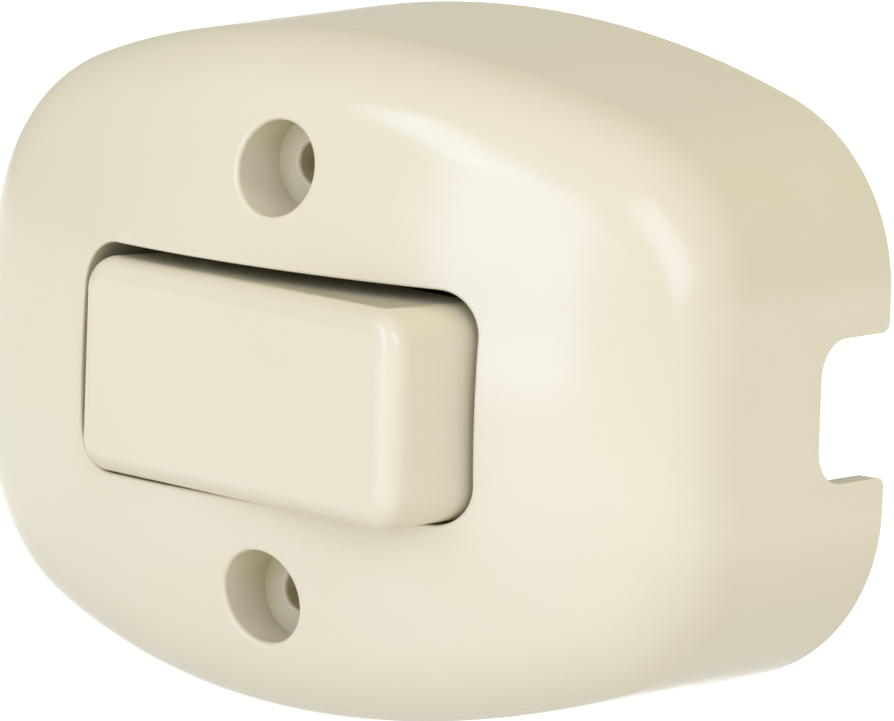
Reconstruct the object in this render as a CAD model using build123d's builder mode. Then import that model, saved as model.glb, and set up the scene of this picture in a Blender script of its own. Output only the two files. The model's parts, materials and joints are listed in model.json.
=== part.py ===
from build123d import *
import math
import os

# Surface-mounted wall switch with a wide rocker: a bowed one-piece cover on a flat base plate, and
# a single-pole rocker mechanism inside.  Millimetres.  X runs to the right, Z up, and the front
# looks along -Y.  The wall is the plane y = 0, and the origin is the middle of the back.
# A "depth" below is a distance from the wall, so depth d lies at y = -d.

os.makedirs("parts", exist_ok=True)

# ---------------------------------------------------------------- cover
cover_width = 89.9
cover_height = 66.7
cover_depth = 40.4          # wall to the top of the crowned front
cover_wall = 2.3
edge_bow = 98.0             # radius of the bowed top and bottom edges
plan_corner = 18.5          # plan corner radius
crown_across = 94.0         # radius of the crowned front, side to side
crown_upright = 107.0       # radius of the crowned front, top to bottom
shoulder = 10.5             # rounding between the front and the side walls
draft = 0.5                 # degrees on the side walls
opening_round = 0.25        # rounding of the front edge of the opening
hole_round = 0.4            # rounding of the front edges of the screw holes

# ---------------------------------------------------------------- wall screw holes
screw_spacing = 41.2
screw_hole_radius = 2.1
screw_hole_round = 0.4
head_hole_radius = 4.55
head_hole_depth = 6.35      # below the crowned front
boss_wall = 1.9

# ---------------------------------------------------------------- cable notches
notch_width = 14.0
notch_depth = 10.45
notch_rise = -0.3           # height of the middle of the notch
notch_corner = 3.6
notch_lip = 1.0
case_screw_depth = 10.0     # screw holes in the cover's pillars, beyond the base plate

# ---------------------------------------------------------------- rocker
opening_width = 48.1
opening_height = 22.4
opening_corner = 4.3
collar_wall = 2.0
collar_depth = 14.5         # skirt of the opening, below the top of the crown
end_collar_depth = 21.0     # the skirt's two ends reach lower and keep light from the notches out
end_collar_place = 21.5     # where they start, from the middle
end_gap = 0.95              # each end of the level rocker to the opening
top_gap = 1.3               # upper long side of the rocker to the opening
bottom_gap = 0.1            # the rocker sits low in its opening
rocker_corner = 3.4
rocker_edge = 2.2           # rounding round the face of the rocker
rocker_wall = 1.8
rocker_roof = 2.2           # thickness behind the face
rib_thickness = 1.6
rib_start = 2.0             # the rib stops short of the rocker's foot
rocker_skirt = 13.5         # height of the rocker's box
end_taper = 3.5             # degrees, the ends draw in away from the face
side_taper = 0.5
rocker_tilt = 10.5          # degrees each way from level
pivot_depth = 37.2
face_rise = 5.55            # face of the rocker above its pivot
shaft_radius = 1.4          # pivot shaft inside the rocker
shaft_root = 0.8            # shaft into the rocker's walls
shaft_clearance = 0.08      # all round the shaft in its bearings

# ---------------------------------------------------------------- plunger and spring
post_reach = 16.0           # end of the rocker's post, from the pivot
post_wall = 1.6
bore_radius = 3.1
bore_roof = 1.5             # top of the spring bore, below the pivot
slide_clearance = 0.08
nose_radius = 2.0
guide_length = 4.6
guide_end = 12.4            # top of the plunger's guide, from the pivot
guide_chamfer = 0.4
spigot_radius = 1.5         # the spring sits round this
spigot_length = 2.0
spring_play = 0.3           # spring to its bore
spring_wire = 0.7
spring_turns = 6

# ---------------------------------------------------------------- contact lever
lever_axis_depth = 12.6
lever_throw = 8.0           # degrees each way
valley_angle = 18.0         # slope of the lever's middle
valley_half = 5.2
arm_reach = 11.0
lever_thickness = 1.2
lever_width = 7.2
lug_radius = 0.8
lug_clearance = 0.06
contact_place = 8.8         # contacts, from the middle
contact_radius = 2.0
contact_head = 0.9
contact_chamfer = 0.25
rivet_shank = 0.9
shank_fit = 0.02            # between a contact's shank and its hole
shank_overlap = 0.3         # shank into the contact's head
top_rivet_head = 0.5        # height of the riveted end
top_rivet_edge = 0.5        # riveted end beyond the shank
contact_gap = 0.06          # between closed contacts
lug_overhang = 0.3          # lever's lugs beyond the cheeks

# ---------------------------------------------------------------- switch body
plate_thickness = 3.0
plate_fit = 0.3
cable_gate = 19.0           # width of the openings in the ends of the base plate
cable_gate_start = 36.2
body_length = 40.0
body_height = 24.0
body_wall = 2.0
body_corner = 2.0
body_inner_corner = 1.0
floor_thickness = 3.0
body_top = 23.5
ear_reach = 33.0
ear_width = 14.0
bridge_plug = 0.8           # thickness of the bridge inside the body's mouth
bridge_flange = 1.2         # thickness of the bridge on the body's rim
bridge_step = 1.0
bridge_corner = 1.5
bridge_slot_along = 1.2     # bridge's slot beyond the rocker's post
bridge_slot_across = 0.6
cheek_inner = 5.5           # bearing cheeks of the bridge, from the middle
cheek_outer = 7.3
bearing_wall = 1.5
bearing_mouth = 2.3         # the shaft snaps in through this slot
hook_width = 14.0           # snap hooks over the body's long walls
hook_gap = 0.1
hook_thickness = 1.1
hook_drop = 6.0             # below the rim
window_width = 4.6
window_height = 2.4
nub_width = 4.2             # nubs on the body that the hooks hold
nub_height = 1.8
nub_reach = 0.8
nub_drop = 4.2              # middle of a nub below the rim
strip_thickness = 1.2
strip_width = 8.0
cheek_thickness = 1.0
cheek_gap = 0.4
stop_size = 4.0
pad_thickness = 1.0
rivet_radius = 1.5
rivet_head_radius = 2.2
rivet_head = 0.8
rivet_chamfer = 0.3
common_rivet_place = 14.4
load_rivet_place = -15.7
terminal_place = 26.6
terminal_reach = 31.6
terminal_screw_radius = 1.7
terminal_screw_tail = 1.6   # below the strip
terminal_head_radius = 3.4
terminal_head = 2.0
terminal_head_chamfer = 0.4
driver_slot_width = 0.9
driver_slot_depth = 0.8
clamp_size = 9.0
clamp_thickness = 1.0
clamp_corner = 1.0
cradle_half = 3.2
cheek_rise = 1.9            # cheeks above the lever's axis
platform_margin = 0.6       # load strip's platform round the contact
strip_bend = 1.4            # run of the load strip's sloping riser
small_screw_radius = 1.3
small_head_radius = 2.6
small_head_play = 0.1
small_slot_width = 0.7
small_slot_depth = 0.6
body_screw_length = 10.0
case_screw_length = 12.0
pillar_radius = 2.9
pillar_height = 8.0         # body pillars above the floor
well_radius = 2.2           # clearance under the terminal screws
well_depth = 2.0
fit = 0.05                  # loose assembly fit

# ---------------------------------------------------------------- worked out
tilt = math.radians(rocker_tilt)
throw = math.radians(lever_throw)
slope = math.radians(valley_angle)
floor_top = plate_thickness + floor_thickness
strip_top = floor_top + strip_thickness
post_radius = bore_radius + post_wall
rocker_length = opening_width - 2 * end_gap
rocker_height = opening_height - top_gap - bottom_gap
rocker_sit = (bottom_gap - top_gap) / 2
ratio = lever_throw / rocker_tilt
screw_places = [(0, screw_spacing / 2), (0, -screw_spacing / 2)]


def face_depth(x, z):
    """Depth of the crowned front at a place."""
    ring = cover_depth - crown_across + math.sqrt(crown_across**2 - x**2) - (cover_depth - crown_upright)
    return cover_depth - crown_upright + math.sqrt(ring**2 - z**2)


def front(depth):
    """Plane parallel to the wall, at a depth, drawn as seen from the front."""
    return Plane.XZ.offset(depth)


def nose_reach():
    """Furthest place of the plunger's nose centre that clears the lever all through the travel."""
    rise = pivot_depth - lever_axis_depth
    reaches = []
    for step in range(51):
        turn = tilt * step / 50
        arm = slope - ratio * turn
        room = rise * math.cos(arm) - lever_thickness / 2 * math.cos(slope) - nose_radius - fit
        reaches.append(room / math.cos(arm - turn))
    return min(reaches)


# The rocker and the lever are drawn in frames of their own, which turn with them.  At rest the
# rocker's left end is pressed in, so the plunger holds the lever's right arm down.
rocker_plan = Plane(
    origin=(0, -pivot_depth, 0),
    x_dir=(math.cos(tilt), -math.sin(tilt), 0),
    z_dir=(-math.sin(tilt), -math.cos(tilt), 0),
)
lever_side = Plane(
    origin=(0, -lever_axis_depth, 0),
    x_dir=(math.cos(throw), math.sin(throw), 0),
    z_dir=(0, 0, -1),
)


def lever_place(along, rise):
    """Point of the lever's own frame, in the frame of the whole switch."""
    return lever_side.from_local_coords(Vector(along, rise, 0))


# ---------------------------------------------------------------- cover
def cover_outline(inset):
    """Plan outline of the cover, drawn in by inset all round."""
    with BuildSketch() as outline:
        Rectangle(cover_width - 2 * inset, cover_width)
        for side in (1, -1):
            with Locations((0, side * (cover_height / 2 - edge_bow))):
                Circle(edge_bow - inset, mode=Mode.INTERSECT)
        fillet(outline.vertices(), plan_corner - inset)
    return outline.sketch


def bowed_block(inset):
    """Solid of the cover's outer shape, drawn in by inset on every side but the back."""
    with BuildPart() as block:
        with BuildSketch(front(0)):
            add(cover_outline(inset))
        extrude(amount=cover_depth + 2, taper=draft)
        ring = Plane.XZ.offset(cover_depth - crown_upright)
        with BuildSketch(ring):
            with Locations((0, crown_upright - crown_across)):
                Circle(crown_across - inset)
            with Locations((0, crown_upright - cover_depth / 2)):
                Rectangle(cover_width, cover_depth + 6, mode=Mode.INTERSECT)
        revolve(axis=Axis(ring.origin, (1, 0, 0)), revolution_arc=180, mode=Mode.INTERSECT)
        fillet(block.faces().sort_by(Axis.Y)[0].edges(), shoulder - inset)
    return block.part


head_floor = face_depth(0, screw_spacing / 2) - head_hole_depth
case_screw_places = [(31.0, 16.0), (-31.0, -16.0)]

with BuildPart() as core:
    # The hollow of the cover: the collar and the bosses are what it leaves standing.
    add(bowed_block(cover_wall))
    with BuildSketch(front(cover_depth - collar_depth)):
        RectangleRounded(
            opening_width + 2 * collar_wall,
            opening_height + 2 * collar_wall,
            opening_corner + collar_wall,
        )
    extrude(amount=cover_depth, mode=Mode.SUBTRACT)
    with BuildSketch(front(cover_depth - end_collar_depth)):
        RectangleRounded(
            opening_width + 2 * collar_wall,
            opening_height + 2 * collar_wall,
            opening_corner + collar_wall,
        )
        Rectangle(2 * end_collar_place, cover_height, mode=Mode.SUBTRACT)
    extrude(amount=cover_depth, mode=Mode.SUBTRACT)
    with BuildSketch(front(head_floor - boss_wall)):
        with Locations(*screw_places):
            Circle(head_hole_radius + boss_wall)
    extrude(amount=cover_depth, mode=Mode.SUBTRACT)
    with BuildSketch(front(plate_thickness)):
        with Locations(*screw_places):
            Circle(screw_hole_radius + boss_wall)
        with Locations(*case_screw_places):
            Circle(pillar_radius)
    extrude(amount=cover_depth, mode=Mode.SUBTRACT)

with BuildPart() as cover:
    add(bowed_block(0))
    add(core.part, mode=Mode.SUBTRACT)
    with BuildSketch(front(cover_depth - end_collar_depth - 1)):
        RectangleRounded(opening_width, opening_height, opening_corner)
    extrude(amount=cover_depth, mode=Mode.SUBTRACT)
    crown = cover.faces().sort_by(Axis.Y)[0]
    fillet(crown.inner_wires()[0].edges(), opening_round)
    with BuildSketch(front(0)):
        with Locations(*screw_places):
            Circle(screw_hole_radius)
    extrude(amount=cover_depth, mode=Mode.SUBTRACT)
    with BuildSketch(front(head_floor)):
        with Locations(*screw_places):
            Circle(head_hole_radius)
    extrude(amount=cover_depth, mode=Mode.SUBTRACT)
    curves = [edge for edge in cover.edges(Select.LAST) if edge.geom_type != GeomType.LINE]
    fillet([edge for edge in curves if -(edge @ 0).Y > head_floor + 1], hole_round)
    circles = cover.edges().filter_by(GeomType.CIRCLE)
    inner_rims = circles.filter_by(lambda edge: abs(edge.radius - screw_hole_radius) < fit)
    fillet([edge for edge in inner_rims if -edge.center().Y > head_floor - fit], screw_hole_round)
    with BuildSketch(front(0)):
        with Locations(*case_screw_places):
            Circle(small_screw_radius + fit)
    extrude(amount=plate_thickness + case_screw_depth, mode=Mode.SUBTRACT)
    with BuildSketch(Plane.YZ) as notch:
        with Locations((0, notch_rise)):
            Rectangle(2 * notch_depth, notch_width)
        fillet(notch.vertices(), notch_corner)
    extrude(amount=cover_width, both=True, mode=Mode.SUBTRACT)
    lips = cover.edges().filter_by(Axis.X).filter_by_position(Axis.Y, -0.01, 0.01)
    fillet(lips, notch_lip)
cover.part.label = "cover"
export_step(cover.part, "parts/cover.step")

# ---------------------------------------------------------------- base plate
body_screw_places = [(15.0, 7.0), (-15.0, -7.0)]

with BuildPart() as base_plate:
    with BuildSketch(front(0)):
        add(cover_outline(cover_wall + plate_fit))
    extrude(amount=plate_thickness)
    for side in (1, -1):
        with BuildSketch(front(0)) as gate:
            outward = Align.MIN if side > 0 else Align.MAX
            with Locations((side * cable_gate_start, notch_rise)):
                Rectangle(cover_width, cable_gate, align=(outward, Align.CENTER))
            inner_corners = gate.vertices().group_by(Axis.X)[0 if side > 0 else -1]
            fillet(inner_corners, notch_corner)
        extrude(amount=plate_thickness, mode=Mode.SUBTRACT)
    with Locations(front(plate_thickness)):
        with Locations(*screw_places):
            Hole(screw_hole_radius, plate_thickness)
    with Locations(Plane(origin=(0, 0, 0), x_dir=(1, 0, 0), z_dir=(0, 1, 0))):
        with Locations(*[(x, -z) for x, z in case_screw_places + body_screw_places]):
            CounterSinkHole(
                small_screw_radius + 2 * small_head_play,
                small_head_radius + small_head_play,
                plate_thickness,
            )
base_plate.part.label = "base_plate"
export_step(base_plate.part, "parts/base_plate.step")

# ---------------------------------------------------------------- switch body
body_inner_length = body_length - 2 * body_wall
body_inner_height = body_height - 2 * body_wall
wing_angle = math.radians(lever_throw)
wing_start = valley_half * math.tan(slope)


def wing_rise(along):
    """Height of the lever's wing above its axis, at a place along it."""
    return wing_start + (abs(along) - valley_half) * math.tan(wing_angle)


# with its arm down, a wing lies parallel to the wall, at this depth
closed_depth = -lever_place(contact_place, wing_rise(contact_place)).Y
closed_reach = lever_place(contact_place, wing_rise(contact_place)).X
wing_underside = closed_depth - lever_thickness / 2
stop_top = wing_underside - pad_thickness - contact_gap

with BuildPart() as switch_body:
    with BuildSketch(front(plate_thickness)):
        RectangleRounded(body_length, body_height, body_corner)
    extrude(amount=body_top - plate_thickness)
    with BuildSketch(front(plate_thickness)):
        RectangleRounded(2 * ear_reach, ear_width, body_corner)
    extrude(amount=floor_thickness)
    with BuildSketch(front(floor_top)):
        RectangleRounded(body_inner_length, body_inner_height, body_inner_corner)
    extrude(amount=body_top, mode=Mode.SUBTRACT)
    # step round the mouth that holds the bridge, and nubs for the bridge's hooks
    with BuildSketch(front(body_top - bridge_plug)):
        RectangleRounded(
            body_inner_length + 2 * bridge_step,
            body_inner_height + 2 * bridge_step,
            bridge_corner,
        )
    extrude(amount=body_top, mode=Mode.SUBTRACT)
    # corner pillars that take the screws from the base plate
    for x, z in body_screw_places:
        with BuildSketch(front(floor_top)):
            with Locations((x, z)):
                Circle(pillar_radius)
            corner = (math.copysign(body_inner_length / 2, x), math.copysign(body_inner_height / 2, z))
            toward = (Align.MAX if x > 0 else Align.MIN, Align.MAX if z > 0 else Align.MIN)
            with Locations(corner):
                Rectangle(2 * pillar_radius, 2 * pillar_radius, align=toward)
        extrude(amount=pillar_height)
    # rib that stops the lever on its open side
    with BuildSketch(front(floor_top)):
        with Locations((closed_reach, 0)):
            Rectangle(stop_size, body_inner_height)
    extrude(amount=stop_top - floor_top)
    # slots that let the terminal strips out through the end walls
    with BuildSketch(front(floor_top)):
        Rectangle(body_length + 2, strip_width + 2 * fit)
    extrude(amount=strip_thickness + fit, mode=Mode.SUBTRACT)
    with BuildSketch(front(plate_thickness)):
        with Locations((common_rivet_place, 0), (load_rivet_place, 0)):
            Circle(rivet_radius + fit)
    extrude(amount=floor_thickness, mode=Mode.SUBTRACT)
    with BuildSketch(front(plate_thickness)):
        with Locations((common_rivet_place, 0), (load_rivet_place, 0)):
            Circle(rivet_head_radius + fit)
    extrude(amount=rivet_head + fit, mode=Mode.SUBTRACT)
    with BuildSketch(front(plate_thickness)):
        with Locations(*body_screw_places):
            Circle(small_screw_radius + fit)
    extrude(amount=floor_thickness + pillar_height - body_wall, mode=Mode.SUBTRACT)
    for side in (1, -1):
        with BuildSketch(Plane.XY.offset(side * (body_height + nub_reach) / 2)):
            with Locations((0, nub_drop - body_top)):
                Rectangle(nub_width, nub_height)
        extrude(amount=nub_reach / 2, both=True)
    # clearance wells for the ends of the terminal screws
    with BuildSketch(front(floor_top - well_depth)):
        with Locations((terminal_place, 0), (-terminal_place, 0)):
            Circle(well_radius)
    extrude(amount=well_depth, mode=Mode.SUBTRACT)
switch_body.part.label = "switch_body"
export_step(switch_body.part, "parts/switch_body.step")

# Bridge: closes the body's mouth, and carries the rocker's shaft between two bearing cheeks.
with BuildPart() as rocker_bridge:
    with BuildSketch(front(body_top - bridge_plug)):
        RectangleRounded(
            body_inner_length + 2 * (bridge_step - fit),
            body_inner_height + 2 * (bridge_step - fit),
            bridge_corner - fit,
        )
    extrude(amount=bridge_plug)
    hook_middle = body_height / 2 + hook_gap + hook_thickness / 2
    with BuildSketch(front(body_top)):
        Rectangle(hook_width, 2 * hook_middle + hook_thickness)
    extrude(amount=bridge_flange)
    with BuildSketch(front(body_top - hook_drop)):
        with Locations((0, hook_middle), (0, -hook_middle)):
            Rectangle(hook_width, hook_thickness)
    extrude(amount=hook_drop)
    with BuildSketch(Plane.XY):
        with Locations((0, nub_drop - body_top)):
            Rectangle(window_width, window_height)
    extrude(amount=body_height, both=True, mode=Mode.SUBTRACT)
    with BuildSketch(front(body_top - bridge_plug)):
        SlotOverall(
            2 * (post_reach * math.sin(tilt) + post_radius + bridge_slot_along),
            2 * (post_radius + bridge_slot_across),
        )
    extrude(amount=bridge_plug + bridge_flange, mode=Mode.SUBTRACT)
    bearing_radius = shaft_radius + shaft_clearance
    for side in (1, -1):
        with BuildSketch(Plane.XY.offset(side * (cheek_inner + cheek_outer) / 2)):
            with Locations((0, -pivot_depth)):
                Circle(bearing_radius + bearing_wall)
                Rectangle(
                    2 * (bearing_radius + bearing_wall),
                    pivot_depth - body_top,
                    align=(Align.CENTER, Align.MIN),
                )
                Circle(bearing_radius, mode=Mode.SUBTRACT)
                Rectangle(
                    bearing_mouth,
                    2 * (bearing_radius + bearing_wall),
                    align=(Align.CENTER, Align.MAX),
                    mode=Mode.SUBTRACT,
                )
        extrude(amount=(cheek_outer - cheek_inner) / 2, both=True)
rocker_bridge.part.label = "rocker_bridge"
export_step(rocker_bridge.part, "parts/rocker_bridge.step")

# ---------------------------------------------------------------- rocker
foot_length = rocker_length - 2 * rocker_skirt * math.tan(math.radians(end_taper))
foot_height = rocker_height - 2 * rocker_skirt * math.tan(math.radians(side_taper))
foot_rise = face_rise - rocker_skirt

with BuildPart() as rocker:
    with BuildSketch(rocker_plan.offset(foot_rise)):
        with Locations((0, rocker_sit)):
            RectangleRounded(foot_length, foot_height, rocker_corner)
    with BuildSketch(rocker_plan.offset(face_rise)):
        with Locations((0, rocker_sit)):
            RectangleRounded(rocker_length, rocker_height, rocker_corner)
    loft()
    fillet(rocker.faces().sort_by(Axis.Y)[0].edges(), rocker_edge)
    with BuildSketch(rocker_plan.offset(foot_rise)):
        with Locations((0, rocker_sit)):
            RectangleRounded(
                foot_length - 2 * rocker_wall,
                foot_height - 2 * rocker_wall,
                rocker_corner - rocker_wall,
            )
    extrude(amount=rocker_skirt - rocker_roof, mode=Mode.SUBTRACT)
    # spring post and the rib that carries it
    with BuildSketch(rocker_plan.offset(-post_reach)):
        Circle(post_radius)
    extrude(amount=post_reach + face_rise - rocker_wall)
    with BuildSketch(rocker_plan.offset(foot_rise + rib_start)):
        Rectangle(rocker_length - 3 * rocker_wall, rib_thickness)
    extrude(amount=rocker_skirt - rocker_wall - rib_start)
    with BuildSketch(rocker_plan.offset(-post_reach)):
        Circle(bore_radius)
    extrude(amount=post_reach - bore_roof, mode=Mode.SUBTRACT)
    # pivot shaft, from wall to wall
    with BuildSketch(Plane.XY.offset(rocker_sit)):
        with Locations((0, -pivot_depth)):
            Circle(shaft_radius)
    extrude(amount=rocker_height / 2 - rocker_wall + shaft_root, both=True)
rocker.part.label = "rocker"
export_step(rocker.part, "parts/rocker.step")

# ---------------------------------------------------------------- plunger and spring
nose_centre = nose_reach()

with BuildPart() as plunger:
    with BuildSketch(rocker_plan.offset(-guide_end - guide_length)):
        Circle(bore_radius - slide_clearance)
    extrude(amount=guide_length)
    chamfer(plunger.edges().filter_by(GeomType.CIRCLE), guide_chamfer)
    with BuildSketch(rocker_plan.offset(-nose_centre)):
        Circle(nose_radius)
    extrude(amount=nose_centre - guide_end - guide_length / 2)
    with Locations(rocker_plan.offset(-nose_centre)):
        Sphere(nose_radius)
    with BuildSketch(rocker_plan.offset(-guide_end)):
        Circle(spigot_radius)
    extrude(amount=spigot_length)
plunger.part.label = "plunger"
export_step(plunger.part, "parts/plunger.step")

spring_radius = bore_radius - 2 * slide_clearance - spring_wire / 2 - spring_play
spring_length = guide_end - bore_roof - spring_wire - 2 * fit

with BuildPart() as rocker_spring:
    spring_seat = rocker_plan.offset(-guide_end + spring_wire / 2 + fit)
    with BuildLine() as coil:
        Helix(
            pitch=spring_length / spring_turns,
            height=spring_length,
            radius=spring_radius,
            center=spring_seat.origin,
            direction=spring_seat.z_dir,
        )
    with BuildSketch(Plane(origin=coil.line @ 0, z_dir=coil.line % 0)):
        Circle(spring_wire / 2)
    sweep(path=coil.line, is_frenet=True)
rocker_spring.part.label = "rocker_spring"
export_step(rocker_spring.part, "parts/rocker_spring.step")

# ---------------------------------------------------------------- contact lever
cheek_inside = lever_width / 2 + cheek_gap
lug_reach = cheek_inside + cheek_thickness + lug_overhang
half = lever_thickness / 2
wing_tip = wing_rise(arm_reach)

# plane of the left wing's middle, facing the fixed contact
contact_seat = Plane(
    origin=lever_place(-contact_place, wing_rise(contact_place)),
    x_dir=(0, 0, 1),
    z_dir=lever_side.x_dir * -math.sin(wing_angle) - lever_side.y_dir * math.cos(wing_angle),
)

with BuildPart() as contact_lever:
    with BuildSketch(lever_side):
        with BuildLine():
            Polyline(
                (-arm_reach, wing_tip),
                (-valley_half, wing_start),
                (0, 0),
                (valley_half, wing_start),
                (arm_reach, wing_tip),
            )
        trace(line_width=lever_thickness)
    extrude(amount=lever_width / 2, both=True)
    with BuildSketch(lever_side):
        Circle(lug_radius)
    extrude(amount=lug_reach, both=True)
    with BuildSketch(contact_seat):
        Circle(rivet_shank + shank_fit)
    extrude(amount=lever_thickness, both=True, mode=Mode.SUBTRACT)
contact_lever.part.label = "contact_lever"
export_step(contact_lever.part, "parts/contact_lever.step")

with BuildPart() as moving_contact:
    with BuildSketch(contact_seat.offset(half)):
        Circle(contact_radius)
    extrude(amount=contact_head)
    chamfer(moving_contact.edges().filter_by(GeomType.CIRCLE), contact_chamfer)
    with BuildSketch(contact_seat.offset(-half)):
        Circle(rivet_shank)
    extrude(amount=lever_thickness + shank_overlap)
    with BuildSketch(contact_seat.offset(-half - top_rivet_head)):
        Circle(rivet_shank + top_rivet_edge)
    extrude(amount=top_rivet_head)
moving_contact.part.label = "moving_contact"
export_step(moving_contact.part, "parts/moving_contact.step")

# ---------------------------------------------------------------- terminals
cheek_top = lever_axis_depth + cheek_rise
fixed_top = wing_underside - contact_head - contact_gap
platform_top = fixed_top - contact_head

with BuildPart() as common_terminal:
    with BuildSketch(front(floor_top)):
        with Locations((-cradle_half, 0)):
            Rectangle(terminal_reach + cradle_half, strip_width, align=(Align.MIN, Align.CENTER))
        Rectangle(2 * cradle_half, 2 * (cheek_inside + cheek_thickness))
        with Locations((common_rivet_place, 0)):
            Circle(rivet_radius + fit, mode=Mode.SUBTRACT)
        with Locations((terminal_place, 0)):
            Circle(terminal_screw_radius + fit, mode=Mode.SUBTRACT)
    extrude(amount=strip_thickness)
    with BuildSketch(front(floor_top)):
        for side in (1, -1):
            with Locations((0, side * (cheek_inside + cheek_thickness / 2))):
                Rectangle(2 * cradle_half, cheek_thickness)
    extrude(amount=cheek_top - floor_top)
    with BuildSketch(lever_side):
        Circle(lug_radius + lug_clearance)
    extrude(amount=lug_reach + 1, both=True, mode=Mode.SUBTRACT)
common_terminal.part.label = "common_terminal"
export_step(common_terminal.part, "parts/common_terminal.step")

with BuildPart() as load_terminal:
    riser_foot = -closed_reach - contact_radius - platform_margin
    run = [
        (-terminal_reach, -floor_top - strip_thickness / 2),
        (riser_foot - strip_bend, -floor_top - strip_thickness / 2),
        (riser_foot, -platform_top + strip_thickness / 2),
        (-closed_reach + contact_radius + platform_margin, -platform_top + strip_thickness / 2),
    ]
    with BuildSketch(Plane.XY):
        with BuildLine():
            Polyline(*run)
        trace(line_width=strip_thickness)
    extrude(amount=strip_width / 2, both=True)
    with BuildSketch(front(floor_top)):
        with Locations((load_rivet_place, 0)):
            Circle(rivet_radius + fit)
        with Locations((-terminal_place, 0)):
            Circle(terminal_screw_radius + fit)
    extrude(amount=strip_thickness, mode=Mode.SUBTRACT)
    with BuildSketch(front(floor_top)):
        with Locations((-closed_reach, 0)):
            Circle(rivet_shank + shank_fit)
    extrude(amount=platform_top, mode=Mode.SUBTRACT)
load_terminal.part.label = "load_terminal"
export_step(load_terminal.part, "parts/load_terminal.step")

with BuildPart() as fixed_contact:
    with BuildSketch(front(platform_top)):
        with Locations((-closed_reach, 0)):
            Circle(contact_radius)
    extrude(amount=contact_head)
    chamfer(fixed_contact.edges().filter_by(GeomType.CIRCLE), contact_chamfer)
    with BuildSketch(front(platform_top - strip_thickness)):
        with Locations((-closed_reach, 0)):
            Circle(rivet_shank)
    extrude(amount=strip_thickness + shank_overlap)
    with BuildSketch(front(platform_top - strip_thickness - top_rivet_head)):
        with Locations((-closed_reach, 0)):
            Circle(rivet_shank + top_rivet_edge)
    extrude(amount=top_rivet_head)
fixed_contact.part.label = "fixed_contact"
export_step(fixed_contact.part, "parts/fixed_contact.step")

with BuildPart() as stop_pad:
    with BuildSketch(front(stop_top)):
        with Locations((closed_reach, 0)):
            Rectangle(stop_size, lever_width)
    extrude(amount=pad_thickness)
stop_pad.part.label = "stop_pad"
export_step(stop_pad.part, "parts/stop_pad.step")

for name, place in (("common_rivet", common_rivet_place), ("load_rivet", load_rivet_place)):
    with BuildPart() as rivet:
        with BuildSketch(front(plate_thickness)):
            with Locations((place, 0)):
                Circle(rivet_head_radius)
        extrude(amount=rivet_head)
        with BuildSketch(front(plate_thickness)):
            with Locations((place, 0)):
                Circle(rivet_radius)
        extrude(amount=floor_thickness + strip_thickness)
        with BuildSketch(front(strip_top)):
            with Locations((place, 0)):
                Circle(rivet_head_radius)
        extrude(amount=rivet_head)
        chamfer(rivet.edges().filter_by(GeomType.CIRCLE).sort_by(Axis.Y)[0], rivet_chamfer)
    rivet.part.label = name
    export_step(rivet.part, f"parts/{name}.step")

for name, place in (("common_clamp", terminal_place), ("load_clamp", -terminal_place)):
    with BuildPart() as clamp:
        with BuildSketch(front(strip_top)):
            with Locations((place, 0)):
                RectangleRounded(clamp_size, clamp_size, clamp_corner)
                Circle(terminal_screw_radius + 2 * fit, mode=Mode.SUBTRACT)
        extrude(amount=clamp_thickness)
    clamp.part.label = name
    export_step(clamp.part, f"parts/{name}.step")

# ---------------------------------------------------------------- screws
with BuildPart() as terminal_screws:
    clamp_top = strip_top + clamp_thickness
    for place in (terminal_place, -terminal_place):
        with BuildSketch(front(floor_top - terminal_screw_tail)):
            with Locations((place, 0)):
                Circle(terminal_screw_radius)
        extrude(amount=clamp_top - floor_top + terminal_screw_tail)
        with BuildSketch(front(clamp_top)):
            with Locations((place, 0)):
                Circle(terminal_head_radius)
        extrude(amount=terminal_head)
    chamfer(terminal_screws.edges().filter_by(GeomType.CIRCLE).group_by(Axis.Y)[0], terminal_head_chamfer)
    with BuildSketch(front(clamp_top + terminal_head - driver_slot_depth)):
        with Locations((terminal_place, 0), (-terminal_place, 0)):
            Rectangle(3 * terminal_head_radius, driver_slot_width)
    extrude(amount=1, mode=Mode.SUBTRACT)
terminal_screws.part.label = "terminal_screws"
export_step(terminal_screws.part, "parts/terminal_screws.step")

head_cone = small_head_radius - small_screw_radius
for name, places, length in (
    ("body_screws", body_screw_places, body_screw_length),
    ("case_screws", case_screw_places, case_screw_length),
):
    with BuildPart() as screws:
        for x, z in places:
            with BuildSketch(front(0)):
                with Locations((x, z)):
                    Circle(small_head_radius)
            with BuildSketch(front(head_cone)):
                with Locations((x, z)):
                    Circle(small_screw_radius)
            loft()
            with BuildSketch(front(head_cone)):
                with Locations((x, z)):
                    Circle(small_screw_radius)
            extrude(amount=length - head_cone)
            with BuildSketch(front(0)):
                with Locations((x, z)):
                    Rectangle(3 * small_head_radius, small_slot_width)
            extrude(amount=small_slot_depth, mode=Mode.SUBTRACT)
    screws.part.label = name
    export_step(screws.part, f"parts/{name}.step")
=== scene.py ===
import json
import math

import bmesh
import bpy
from bpy.props import FloatProperty, FloatVectorProperty, IntProperty, PointerProperty
from mathutils import Matrix, Vector


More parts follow.
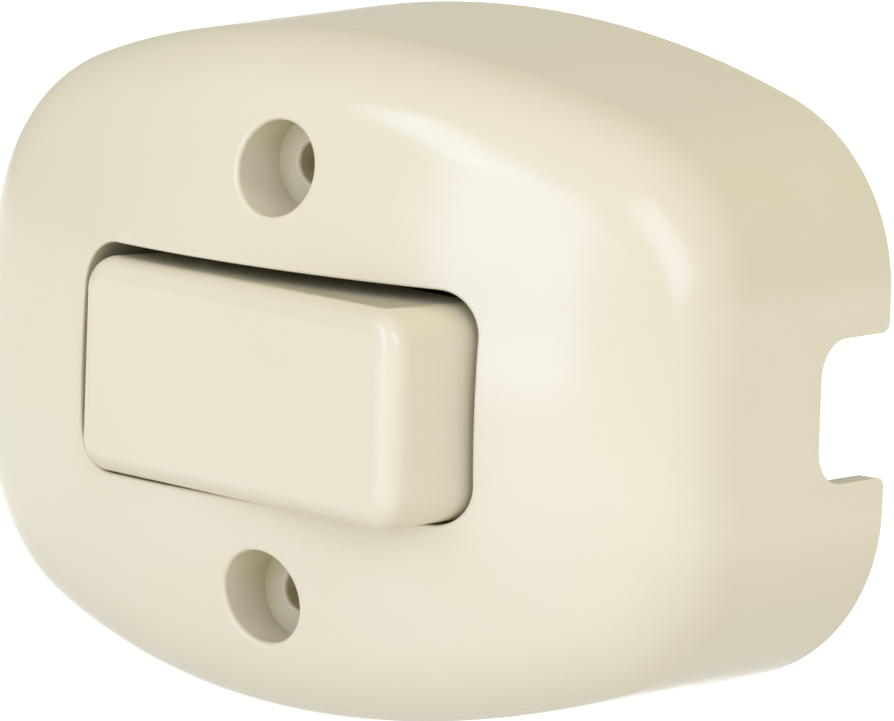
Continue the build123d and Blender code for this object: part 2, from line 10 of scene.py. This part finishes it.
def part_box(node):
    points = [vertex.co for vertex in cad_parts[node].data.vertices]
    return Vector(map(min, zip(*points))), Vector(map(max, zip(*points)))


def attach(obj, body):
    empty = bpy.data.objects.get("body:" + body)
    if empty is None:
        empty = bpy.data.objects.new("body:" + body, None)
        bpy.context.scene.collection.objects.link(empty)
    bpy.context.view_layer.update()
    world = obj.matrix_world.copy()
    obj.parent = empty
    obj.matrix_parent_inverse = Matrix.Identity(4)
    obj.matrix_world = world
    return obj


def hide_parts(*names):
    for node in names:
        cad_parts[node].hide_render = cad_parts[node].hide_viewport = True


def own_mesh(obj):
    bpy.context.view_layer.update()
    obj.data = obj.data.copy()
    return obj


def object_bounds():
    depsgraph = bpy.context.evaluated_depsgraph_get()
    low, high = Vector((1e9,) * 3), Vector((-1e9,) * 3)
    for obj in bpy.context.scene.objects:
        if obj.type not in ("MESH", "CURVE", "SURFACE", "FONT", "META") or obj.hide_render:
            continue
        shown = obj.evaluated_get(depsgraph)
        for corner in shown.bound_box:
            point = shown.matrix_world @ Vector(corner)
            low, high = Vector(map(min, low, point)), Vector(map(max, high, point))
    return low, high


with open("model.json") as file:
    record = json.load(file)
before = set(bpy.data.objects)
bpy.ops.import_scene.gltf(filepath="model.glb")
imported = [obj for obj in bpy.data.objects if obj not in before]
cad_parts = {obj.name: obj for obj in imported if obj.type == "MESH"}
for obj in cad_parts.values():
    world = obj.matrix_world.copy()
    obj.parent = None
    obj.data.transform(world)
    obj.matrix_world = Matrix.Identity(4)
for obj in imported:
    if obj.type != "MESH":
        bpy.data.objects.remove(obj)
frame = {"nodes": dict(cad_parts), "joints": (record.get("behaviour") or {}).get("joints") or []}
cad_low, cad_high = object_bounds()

bl_info = {
    "name": "Rocker wall switch",
    "version": (1, 0, 0),
    "blender": (4, 5, 0),
    "location": "View3D > Sidebar > Wall switch",
    "description": "Finishes and studio for a surface-mounted rocker wall switch",
    "category": "Object",
}

TAB = "Wall switch"
MM = 0.001
CAD_NODES = frame["nodes"]
CAD_JOINTS = {joint["name"]: joint for joint in frame["joints"]}

# Metres from the switch where the floor starts to brighten, and where it is at its brightest.
FLOOR_FADE = (0.45, 1.1)
FLOOR_SEGMENTS = 96

# Sides of the spring wire's section, and the angle from which its end faces stay sharp.
WIRE_SIDES = 12
SHARP_ANGLE = math.radians(40)

# Each light: name, the directions of its two ends as azimuth and elevation, its width in degrees,
# its brightness, its tint, and whether it shows in reflections.
COOL_TINT = (0.68, 0.76, 1.30)
LIGHT_DISTANCE = 1.5
LIGHTS = (
    ("upper_softbox", (-30, 44), (-6, 24), 14, 3.7, COOL_TINT, True),
    ("front_softbox", (-4, 26), (-4, -7), 20, 3.4, COOL_TINT, True),
    ("side_softbox", (36, 40), (64, 8), 26, 2.9, (0.76, 0.82, 1.36), True),
    ("side_fill", (52, 36), (58, 4), 30, 0.7, (1.0, 0.95, 0.84), False),
    ("overhead_softbox", (20, 60), (-160, 70), 45, 1.15, (1.0, 0.93, 0.78), False),
)


# ------------------------------------------------------------------ sizes and colours
def colour(name, description, default):
    return FloatVectorProperty(
        name=name, description=description, default=default, size=3, min=0.0, max=1.0, subtype="COLOR"
    )


def share(name, description, default):
    return FloatProperty(name=name, description=description, default=default, min=0.0, max=1.0, subtype="FACTOR")


def length(name, description, default):
    return FloatProperty(name=name, description=description, default=default, min=0.0, precision=5, unit="LENGTH")


def angle(name, description, default):
    return FloatProperty(name=name, description=description, default=math.radians(default), subtype="ANGLE")


class MouldingSettings(bpy.types.PropertyGroup):
    """Ivory plastic of the cover and the rocker."""

    ivory: colour("Ivory", "Colour of the cover", (0.638, 0.592, 0.397))
    rocker_ivory: colour("Rocker ivory", "Colour of the rocker", (0.638, 0.592, 0.397))
    aged_ivory: colour("Aged ivory", "Warmer tone that drifts through the plastic", (0.618, 0.567, 0.367))
    fleck: colour("Fleck", "Colour of the fine specks in the plastic", (0.60, 0.535, 0.385))
    gloss_roughness: share("Roughness", "Roughness of the satin gloss", 0.17)
    peel_size: length("Peel size", "Width of the moulded surface's ripples", 1.6 * MM)
    peel_height: length("Peel height", "Depth of the moulded surface's ripples", 0.004 * MM)
    fleck_size: length("Fleck size", "Width of the specks", 0.28 * MM)


class InnerPlasticSettings(bpy.types.PropertyGroup):
    """Insulating parts behind the cover."""

    phenolic: colour("Phenolic", "Base plate and switch body", (0.072, 0.040, 0.024))
    phenolic_light: colour("Phenolic filler", "Lighter wood flour in the phenolic", (0.125, 0.074, 0.044))
    bridge: colour("Bridge nylon", "Bridge that carries the rocker", (0.14, 0.125, 0.105))
    nylon: colour("Nylon", "Plunger", (0.83, 0.81, 0.74))
    rubber: colour("Rubber", "Stop pad", (0.035, 0.035, 0.036))


class MetalSettings(bpy.types.PropertyGroup):
    """Current-carrying parts, spring and screws."""

    brass: colour("Brass", "Rolled strip", (0.80, 0.61, 0.27))
    tarnish: colour("Tarnish", "Darker film on the brass", (0.45, 0.30, 0.12))
    silver: colour("Silver", "Contacts", (0.88, 0.87, 0.84))
    spring_steel: colour("Spring steel", "Rocker spring", (0.50, 0.51, 0.53))
    zinc: colour("Zinc", "Plated screws", (0.68, 0.70, 0.73))
    zinc_film: colour("Zinc film", "Faint yellow film on the plating", (0.70, 0.67, 0.58))


class SpringSettings(bpy.types.PropertyGroup):
    """Coil spring in the rocker's post."""

    wire: length("Wire", "Thickness of the wire", 0.7 * MM)
    coil_radius: length("Coil radius", "Axis of the spring to the middle of its wire", 2.29 * MM)
    top: length("Top", "Rocker's pivot to the middle of the first turn", 1.9 * MM)
    bottom: length("Bottom", "Rocker's pivot to the middle of the last turn", 12.0 * MM)
    travel: length("Travel", "How far the plunger shortens the spring", 0.6 * MM)
    turns: IntProperty(name="Turns", description="Turns of the coil", default=6, min=2)
    steps: IntProperty(name="Steps", description="Steps in a turn", default=36, min=8)


class StageSettings(bpy.types.PropertyGroup):
    """Floor, camera and lights."""

    floor_drop: length("Floor drop", "Height of the switch above the floor", 0.25)
    floor_radius: length("Floor radius", "Radius of the floor", 7.0)
    floor_colour: colour("Floor colour", "Pale floor", (0.93, 0.93, 0.93))
    # Painted shade: the floor under the switch is given this share of the floor colour.
    floor_painted_shade: share("Floor shade", "Floor under the switch, as a part of the floor colour", 0.92)
    floor_glow: FloatProperty(name="Floor glow", description="Light of the floor round about", default=0.7, min=0.0)
    world_colour: colour("Room colour", "Colour of the room's light", (1.0, 0.965, 0.875))
    world_light: FloatProperty(name="Room light", description="Strength of the room's light", default=0.60, min=0.0)
    camera_azimuth: angle("Azimuth", "Camera to the right of the front", 38.18)
    camera_elevation: angle("Elevation", "Camera above the level of the switch", 8.505)
    camera_roll: angle("Roll", "Turn of the camera about its own axis", 2.022)
    camera_distance: length("Distance", "Camera to its target", 1.16184)
    camera_target: FloatVectorProperty(
        name="Target", description="Point the camera looks at", default=(0.0072128, -0.020, 0.0013085), unit="LENGTH"
    )
    lens: FloatProperty(name="Lens", description="Focal length in millimetres", default=487.79, min=1.0)


class SwitchSettings(bpy.types.PropertyGroup):
    """All settings of the wall switch."""

    moulding: PointerProperty(type=MouldingSettings)
    inner: PointerProperty(type=InnerPlasticSettings)
    metal: PointerProperty(type=MetalSettings)
    spring: PointerProperty(type=SpringSettings)
    stage: PointerProperty(type=StageSettings)


# ------------------------------------------------------------------ finishes
class Finish:
    """A node finish, drawn in the switch's own coordinates."""

    def __init__(self, name, roughness=0.5, metallic=0.0, ior=1.5):
        self.material = bpy.data.materials.new(name)
        self.material.use_nodes = True
        tree = self.material.node_tree
        self.nodes, self.links = tree.nodes, tree.links
        self.shader = self.nodes["Principled BSDF"]
        self.shader.inputs["Roughness"].default_value = roughness
        self.shader.inputs["Metallic"].default_value = metallic
        self.shader.inputs["IOR"].default_value = ior
        self.place = self.nodes.new("ShaderNodeTexCoord").outputs["Object"]

    def stretched(self, scale, turn=(0.0, 0.0, 0.0), centre=(0.0, 0.0, 0.0)):
        """Coordinates scaled along each axis, about a centre."""
        mapping = self.nodes.new("ShaderNodeMapping")
        mapping.inputs["Location"].default_value = [-c * s for c, s in zip(centre, scale)]
        mapping.inputs["Rotation"].default_value = turn
        mapping.inputs["Scale"].default_value = scale
        self.links.new(self.place, mapping.inputs["Vector"])
        return mapping.outputs["Vector"]

    def noise(self, size, detail=2.0, roughness=0.5, vector=None):
        """Cloudy noise with features of a size."""
        noise = self.nodes.new("ShaderNodeTexNoise")
        noise.inputs["Scale"].default_value = 1.0 / size
        noise.inputs["Detail"].default_value = detail
        noise.inputs["Roughness"].default_value = roughness
        self.links.new(vector or self.place, noise.inputs["Vector"])
        return noise.outputs["Fac"]

    def rings(self, size, vector, direction="Z"):
        """Tool rings round an axis of the given coordinates."""
        wave = self.nodes.new("ShaderNodeTexWave")
        wave.wave_type = "RINGS"
        wave.rings_direction = direction
        wave.inputs["Scale"].default_value = 1.0 / size
        wave.inputs["Distortion"].default_value = 1.5
        wave.inputs["Detail"].default_value = 2.0
        self.links.new(vector, wave.inputs["Vector"])
        return wave.outputs["Fac"]

    def between(self, value, low, high, start=0.3, end=0.7):
        """Value spread from low to high."""
        spread = self.nodes.new("ShaderNodeMapRange")
        spread.interpolation_type = "SMOOTHSTEP"
        spread.inputs["From Min"].default_value = start
        spread.inputs["From Max"].default_value = end
        spread.inputs["To Min"].default_value = low
        spread.inputs["To Max"].default_value = high
        self.links.new(value, spread.inputs["Value"])
        return spread.outputs["Result"]

    def mixed(self, amount, first, second):
        """Colour between two colours, each a colour or a socket."""
        mix = self.nodes.new("ShaderNodeMix")
        mix.data_type = "RGBA"
        self.links.new(amount, mix.inputs["Factor"])
        for name, value in (("A", first), ("B", second)):
            socket = next(s for s in mix.inputs if s.name == name and s.type == "RGBA")
            if isinstance(value, bpy.types.NodeSocket):
                self.links.new(value, socket)
            else:
                socket.default_value = (*value, 1.0)
        return next(s for s in mix.outputs if s.type == "RGBA")

    def paint(self, value):
        self.links.new(value, self.shader.inputs["Base Color"])

    def gloss(self, value):
        self.links.new(value, self.shader.inputs["Roughness"])

    def relief(self, *layers):
        """Bumps, each a height socket and its height in metres."""
        normal = None
        for height, distance in layers:
            bump = self.nodes.new("ShaderNodeBump")
            bump.inputs["Strength"].default_value = 1.0
            bump.inputs["Distance"].default_value = distance
            self.links.new(height, bump.inputs["Height"])
            if normal:
                self.links.new(normal, bump.inputs["Normal"])
            normal = bump.outputs["Normal"]
        self.links.new(normal, self.shader.inputs["Normal"])


def ivory_plastic(name, base, settings):
    """Satin moulded ivory: a slow drift of tone, fine specks and a faint peel."""
    finish = Finish(name, roughness=settings.gloss_roughness)
    drift = finish.noise(26 * MM, detail=3.0)
    specks = finish.noise(settings.fleck_size, detail=1.0)
    drifted = finish.mixed(finish.between(drift, 0.0, 0.45), base, settings.aged_ivory)
    finish.paint(finish.mixed(finish.between(specks, 0.0, 0.10, 0.62, 0.72), drifted, settings.fleck))
    wear = finish.noise(9 * MM, detail=4.0, roughness=0.6)
    finish.gloss(finish.between(wear, settings.gloss_roughness - 0.03, settings.gloss_roughness + 0.06))
    peel = finish.noise(settings.peel_size, detail=2.0)
    tooth = finish.noise(0.22 * MM, detail=1.0)
    finish.relief((peel, settings.peel_height), (tooth, 0.0012 * MM))
    return finish.material


def phenolic(settings):
    """Pressed phenolic: dark brown with lighter filler and a dull skin."""
    finish = Finish("pressed_phenolic", roughness=0.42)
    flour = finish.noise(0.9 * MM, detail=6.0, roughness=0.7)
    cloud = finish.noise(12 * MM, detail=2.0)
    toned = finish.mixed(finish.between(cloud, 0.0, 0.35), settings.phenolic, settings.phenolic_light)
    finish.paint(finish.mixed(finish.between(flour, 0.0, 0.6, 0.52, 0.75), toned, settings.phenolic_light))
    finish.gloss(finish.between(cloud, 0.36, 0.52))
    finish.relief((flour, 0.01 * MM))
    return finish.material


def glass_nylon(settings):
    """Glass-filled nylon, with fibres showing as pale flecks along the flow."""
    finish = Finish("glass_filled_nylon", roughness=0.5)
    along = finish.stretched((0.2, 1.0, 1.0))
    strands = finish.noise(0.3 * MM, detail=3.0, roughness=0.6, vector=along)
    pale = tuple(c + 0.07 for c in settings.bridge)
    finish.paint(finish.mixed(finish.between(strands, 0.0, 1.0, 0.5, 0.8), settings.bridge, pale))
    finish.gloss(finish.between(strands, 0.42, 0.6))
    finish.relief((strands, 0.006 * MM))
    return finish.material


def moulded_nylon(settings):
    """Milky nylon."""
    finish = Finish("moulded_nylon", roughness=0.38)
    finish.shader.inputs["Subsurface Weight"].default_value = 0.25
    finish.shader.inputs["Subsurface Scale"].default_value = 1.2 * MM
    cloud = finish.noise(2.5 * MM, detail=2.0)
    greyed = tuple(0.93 * c for c in settings.nylon)
    finish.paint(finish.mixed(finish.between(cloud, 0.0, 1.0), settings.nylon, greyed))
    finish.gloss(finish.between(cloud, 0.33, 0.44))
    finish.relief((finish.noise(0.4 * MM), 0.003 * MM))
    return finish.material


def moulded_rubber(settings):
    """Black rubber with a powdery bloom."""
    finish = Finish("moulded_rubber", roughness=0.8)
    bloom = finish.noise(1.4 * MM, detail=4.0)
    dusty = tuple(c + 0.035 for c in settings.rubber)
    finish.paint(finish.mixed(finish.between(bloom, 0.0, 1.0), settings.rubber, dusty))
    finish.gloss(finish.between(bloom, 0.7, 0.9))
    finish.relief((finish.noise(0.3 * MM), 0.01 * MM))
    return finish.material


def rolled_brass(settings):
    """Brass strip with rolling lines and a patchy tarnish."""
    finish = Finish("rolled_brass", roughness=0.3, metallic=1.0)
    lines = finish.noise(0.12 * MM, detail=3.0, vector=finish.stretched((0.03, 1.0, 1.0)))
    film = finish.noise(4 * MM, detail=5.0, roughness=0.6)
    finish.paint(finish.mixed(finish.between(film, 0.0, 0.4, 0.5, 0.75), settings.brass, settings.tarnish))
    finish.gloss(finish.between(lines, 0.24, 0.40))
    finish.relief((lines, 0.0015 * MM))
    return finish.material


def turned_metal(name, base, film, node, tool_mark=0.16 * MM):
    """Metal turned about the depth axis through the middle of a part."""
    low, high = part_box(node)
    centre = (low + high) / 2
    finish = Finish(name, roughness=0.25, metallic=1.0)
    rings = finish.rings(tool_mark, finish.stretched((1.0, 1.0, 1.0), centre=centre), "Y")
    cloud = finish.noise(1.6 * MM, detail=4.0)
    finish.paint(finish.mixed(finish.between(cloud, 0.0, 0.35), base, film))
    finish.gloss(finish.between(rings, 0.2, 0.34, 0.0, 1.0))
    finish.relief((rings, 0.002 * MM))
    return finish.material


def drawn_wire(settings):
    """Spring wire with drawing lines."""
    finish = Finish("drawn_spring_wire", roughness=0.3, metallic=1.0)
    lines = finish.noise(0.15 * MM, detail=4.0, vector=finish.stretched((1.0, 0.1, 1.0)))
    dark = tuple(0.7 * c for c in settings.spring_steel)
    finish.paint(finish.mixed(finish.between(lines, 0.0, 0.8), settings.spring_steel, dark))
    finish.gloss(finish.between(lines, 0.22, 0.4))
    finish.relief((lines, 0.0015 * MM))
    return finish.material


def zinc_plate(settings):
    """Zinc plating with a faint film and fine scratches."""
    finish = Finish("zinc_plated_steel", roughness=0.32, metallic=1.0)
    film = finish.noise(1.5 * MM, detail=4.0, roughness=0.6)
    across = finish.stretched((1.0, 1.0, 0.08), turn=(0.0, 0.6, 0.0))
    scratches = finish.noise(0.1 * MM, detail=3.0, vector=across)
    finish.paint(finish.mixed(finish.between(film, 0.0, 0.7), settings.zinc, settings.zinc_film))
    finish.gloss(finish.between(scratches, 0.26, 0.42))
    finish.relief((scratches, 0.0015 * MM))
    return finish.material


def pale_floor(settings):
    """Pale floor with a faint tooth, painted darker as shade under the switch and glowing round about."""
    finish = Finish("pale_floor", roughness=0.85)
    tooth = finish.noise(2.5 * MM, detail=3.0)
    reach = finish.nodes.new("ShaderNodeVectorMath")
    reach.operation = "LENGTH"
    finish.links.new(finish.place, reach.inputs[0])
    beyond = finish.between(reach.outputs["Value"], 0.0, 1.0, *FLOOR_FADE)
    # Painted shade: the floor colour is darkened under the switch and brightens outwards.
    shade = tuple(settings.floor_painted_shade * c for c in settings.floor_colour)
    finish.paint(finish.mixed(beyond, shade, settings.floor_colour))
    finish.gloss(finish.between(tooth, 0.82, 0.9))
    finish.relief((tooth, 0.05 * MM))
    # Painted glow: the floor gives off light round about, but not under the switch.
    finish.shader.inputs["Emission Color"].default_value = (1.0, 1.0, 1.0, 1.0)
    glow = finish.between(reach.outputs["Value"], 0.0, settings.floor_glow, *FLOOR_FADE)
    finish.links.new(glow, finish.shader.inputs["Emission Strength"])
    return finish.material


def wear(material, *nodes):
    """Gives CAD nodes one finish."""
    for node in nodes:
        slots = CAD_NODES[node].data.materials
        slots.clear()
        slots.append(material)


# ------------------------------------------------------------------ operators
class SWITCH_OT_mouldings(bpy.types.Operator):
    """Finish the ivory cover and rocker"""

    bl_idname = "wall_switch.mouldings"
    bl_label = "Cover and rocker"

    def execute(self, context):
        settings = context.scene.wall_switch.moulding
        wear(ivory_plastic("ivory_cover", settings.ivory, settings), "cover")
        wear(ivory_plastic("ivory_rocker", settings.rocker_ivory, settings), "rocker")
        return {"FINISHED"}


class SWITCH_OT_insulation(bpy.types.Operator):
    """Finish the base plate, switch body, bridge, plunger and stop pad"""

    bl_idname = "wall_switch.insulation"
    bl_label = "Insulating parts"

    def execute(self, context):
        settings = context.scene.wall_switch.inner
        wear(phenolic(settings), "base_plate", "switch_body")
        wear(glass_nylon(settings), "rocker_bridge")
        wear(moulded_nylon(settings), "plunger")
        wear(moulded_rubber(settings), "stop_pad")
        return {"FINISHED"}


class SWITCH_OT_metalwork(bpy.types.Operator):
    """Finish the lever, terminals, contacts, rivets, clamps and screws"""

    bl_idname = "wall_switch.metalwork"
    bl_label = "Metal parts"

    def execute(self, context):
        settings = context.scene.wall_switch.metal
        wear(rolled_brass(settings), "contact_lever", "common_terminal", "load_terminal")
        plated = zinc_plate(settings)
        wear(plated, "common_clamp", "load_clamp", "terminal_screws", "body_screws", "case_screws")
        for node in ("common_rivet", "load_rivet"):
            wear(turned_metal(f"{node}_brass", settings.brass, settings.tarnish, node), node)
        dull_silver = tuple(0.8 * c for c in settings.silver)
        for node in ("moving_contact", "fixed_contact"):
            wear(turned_metal(f"{node}_silver", settings.silver, dull_silver, node), node)
        return {"FINISHED"}


class SWITCH_OT_spring(bpy.types.Operator):
    """Wind the spring that pushes the plunger"""

    bl_idname = "wall_switch.spring"
    bl_label = "Spring"

    def execute(self, context):
        settings = context.scene.wall_switch
        spring = settings.spring
        outward = Vector(CAD_JOINTS["plunger_slide"]["axis"])
        pivot = Vector(CAD_JOINTS["rocker_tilt"]["pos_m"])
        bm = bmesh.new()
        section = bmesh.ops.create_circle(bm, segments=WIRE_SIDES, radius=spring.wire / 2)["verts"]
        bmesh.ops.rotate(bm, verts=section, matrix=Matrix.Rotation(math.radians(90), 3, "X"))
        bmesh.ops.translate(bm, verts=section, vec=(spring.coil_radius, 0.0, -spring.bottom))
        steps = spring.turns * spring.steps
        bmesh.ops.spin(
            bm,
            geom=bm.verts[:] + bm.edges[:],
            cent=(0.0, 0.0, 0.0),
            axis=(0.0, 0.0, 1.0),
            dvec=(0.0, 0.0, (spring.bottom - spring.top) / steps),
            angle=math.tau * spring.turns,
            steps=steps,
        )
        bmesh.ops.holes_fill(bm, edges=[edge for edge in bm.edges if edge.is_boundary])
        side = Vector((0.0, 0.0, 1.0))
        place = Matrix((outward.cross(side), -side, outward)).transposed().to_4x4()
        place.translation = pivot
        bmesh.ops.transform(bm, matrix=place, verts=bm.verts)
        bmesh.ops.recalc_face_normals(bm, faces=bm.faces)
        mesh = bpy.data.meshes.new("rocker_spring_coil")
        bm.to_mesh(mesh)
        bm.free()
        mesh.materials.append(drawn_wire(settings.metal))
        mesh.shade_smooth()
        mesh.set_sharp_from_angle(angle=SHARP_ANGLE)
        coil = bpy.data.objects.new("rocker_spring_coil", mesh)
        context.scene.collection.objects.link(coil)
        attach(coil, "rocker")
        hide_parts("rocker_spring")
        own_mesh(coil)
        return {"FINISHED"}


def toward(azimuth, elevation):
    """Unit vector from the switch, by degrees to the right of the front and above level."""
    a, e = math.radians(azimuth), math.radians(elevation)
    return Vector((math.sin(a) * math.cos(e), -math.cos(a) * math.cos(e), math.sin(e)))


def strip_light(name, first_end, second_end, spread, brightness, tint, glossy):
    """Softbox whose long sides run from one direction to another, spread degrees wide."""
    first, second = toward(*first_end), toward(*second_end)
    back = (first + second).normalized()
    along = (first - second).normalized()
    along = (along - back * along.dot(back)).normalized()
    lamp = bpy.data.lights.new(name, "AREA")
    lamp.shape = "RECTANGLE"
    lamp.size = 2 * LIGHT_DISTANCE * math.tan(first.angle(second) / 2)
    lamp.size_y = 2 * LIGHT_DISTANCE * math.tan(math.radians(spread) / 2)
    lamp.energy = brightness * math.pi * lamp.size * lamp.size_y
    lamp.color = tint
    light = bpy.data.objects.new(name, lamp)
    place = Matrix((along, back.cross(along), back)).transposed().to_4x4()
    place.translation = back * LIGHT_DISTANCE
    light.matrix_world = place
    light.visible_camera = False
    light.visible_glossy = glossy
    bpy.context.scene.collection.objects.link(light)


class SWITCH_OT_stage(bpy.types.Operator):
    """Lay the floor, hang the lights and set the camera"""

    bl_idname = "wall_switch.stage"
    bl_label = "Studio"

    def execute(self, context):
        scene = context.scene
        settings = scene.wall_switch.stage
        self.lay_floor(scene, settings)
        self.hang_lights(scene, settings)
        self.set_camera(scene, settings)
        return {"FINISHED"}

    def lay_floor(self, scene, settings):
        bm = bmesh.new()
        bmesh.ops.create_circle(bm, cap_ends=True, segments=FLOOR_SEGMENTS, radius=settings.floor_radius)
        bmesh.ops.translate(bm, verts=bm.verts, vec=(0.0, 0.0, cad_low.z - settings.floor_drop))
        mesh = bpy.data.meshes.new("floor")
        bm.to_mesh(mesh)
        bm.free()
        mesh.materials.append(pale_floor(settings))
        floor = bpy.data.objects.new("floor", mesh)
        scene.collection.objects.link(floor)

    def hang_lights(self, scene, settings):
        world = bpy.data.worlds.new("studio_room")
        world.use_nodes = True
        room = world.node_tree.nodes["Background"]
        room.inputs["Color"].default_value = (*settings.world_colour, 1.0)
        room.inputs["Strength"].default_value = settings.world_light
        scene.world = world
        for light in LIGHTS:
            strip_light(*light)

    def set_camera(self, scene, settings):
        back = toward(math.degrees(settings.camera_azimuth), math.degrees(settings.camera_elevation))
        level = Vector((math.cos(settings.camera_azimuth), math.sin(settings.camera_azimuth), 0.0))
        upright = back.cross(level)
        roll = settings.camera_roll
        right = level * math.cos(roll) + upright * math.sin(roll)
        up = upright * math.cos(roll) - level * math.sin(roll)
        lens = bpy.data.cameras.new("camera")
        lens.sensor_width = 36.0
        lens.lens = settings.lens
        lens.clip_start, lens.clip_end = 0.05, 60.0
        camera = bpy.data.objects.new("camera", lens)
        place = Matrix((right, up, back)).transposed().to_4x4()
        place.translation = Vector(settings.camera_target) + back * settings.camera_distance
        camera.matrix_world = place
        scene.collection.objects.link(camera)
        scene.camera = camera
        scene.view_settings.view_transform = "Standard"


class SWITCH_PT_panel(bpy.types.Panel):
    """Settings and steps of the wall switch"""

    bl_idname = "SWITCH_PT_panel"
    bl_label = "Rocker wall switch"
    bl_space_type = "VIEW_3D"
    bl_region_type = "UI"
    bl_category = TAB

    def draw(self, context):
        settings = context.scene.wall_switch
        for group in ("moulding", "inner", "metal", "spring", "stage"):
            box = self.layout.box()
            for name in getattr(settings, group).bl_rna.properties.keys():
                if name not in ("rna_type", "name"):
                    box.prop(getattr(settings, group), name)
        for operator in OPERATORS:
            self.layout.operator(operator.bl_idname)


OPERATORS = (
    SWITCH_OT_mouldings,
    SWITCH_OT_insulation,
    SWITCH_OT_metalwork,
    SWITCH_OT_spring,
    SWITCH_OT_stage,
)
CLASSES = (
    MouldingSettings,
    InnerPlasticSettings,
    MetalSettings,
    SpringSettings,
    StageSettings,
    SwitchSettings,
    *OPERATORS,
    SWITCH_PT_panel,
)


def register():
    for cls in CLASSES:
        bpy.utils.register_class(cls)
    bpy.types.Scene.wall_switch = PointerProperty(type=SwitchSettings)


def unregister():
    del bpy.types.Scene.wall_switch
    for cls in reversed(CLASSES):
        bpy.utils.unregister_class(cls)


def main():
    register()
    bpy.ops.wall_switch.mouldings()
    bpy.ops.wall_switch.insulation()
    bpy.ops.wall_switch.metalwork()
    bpy.ops.wall_switch.spring()
    bpy.ops.wall_switch.stage()


if __name__ == "__main__":
    main()
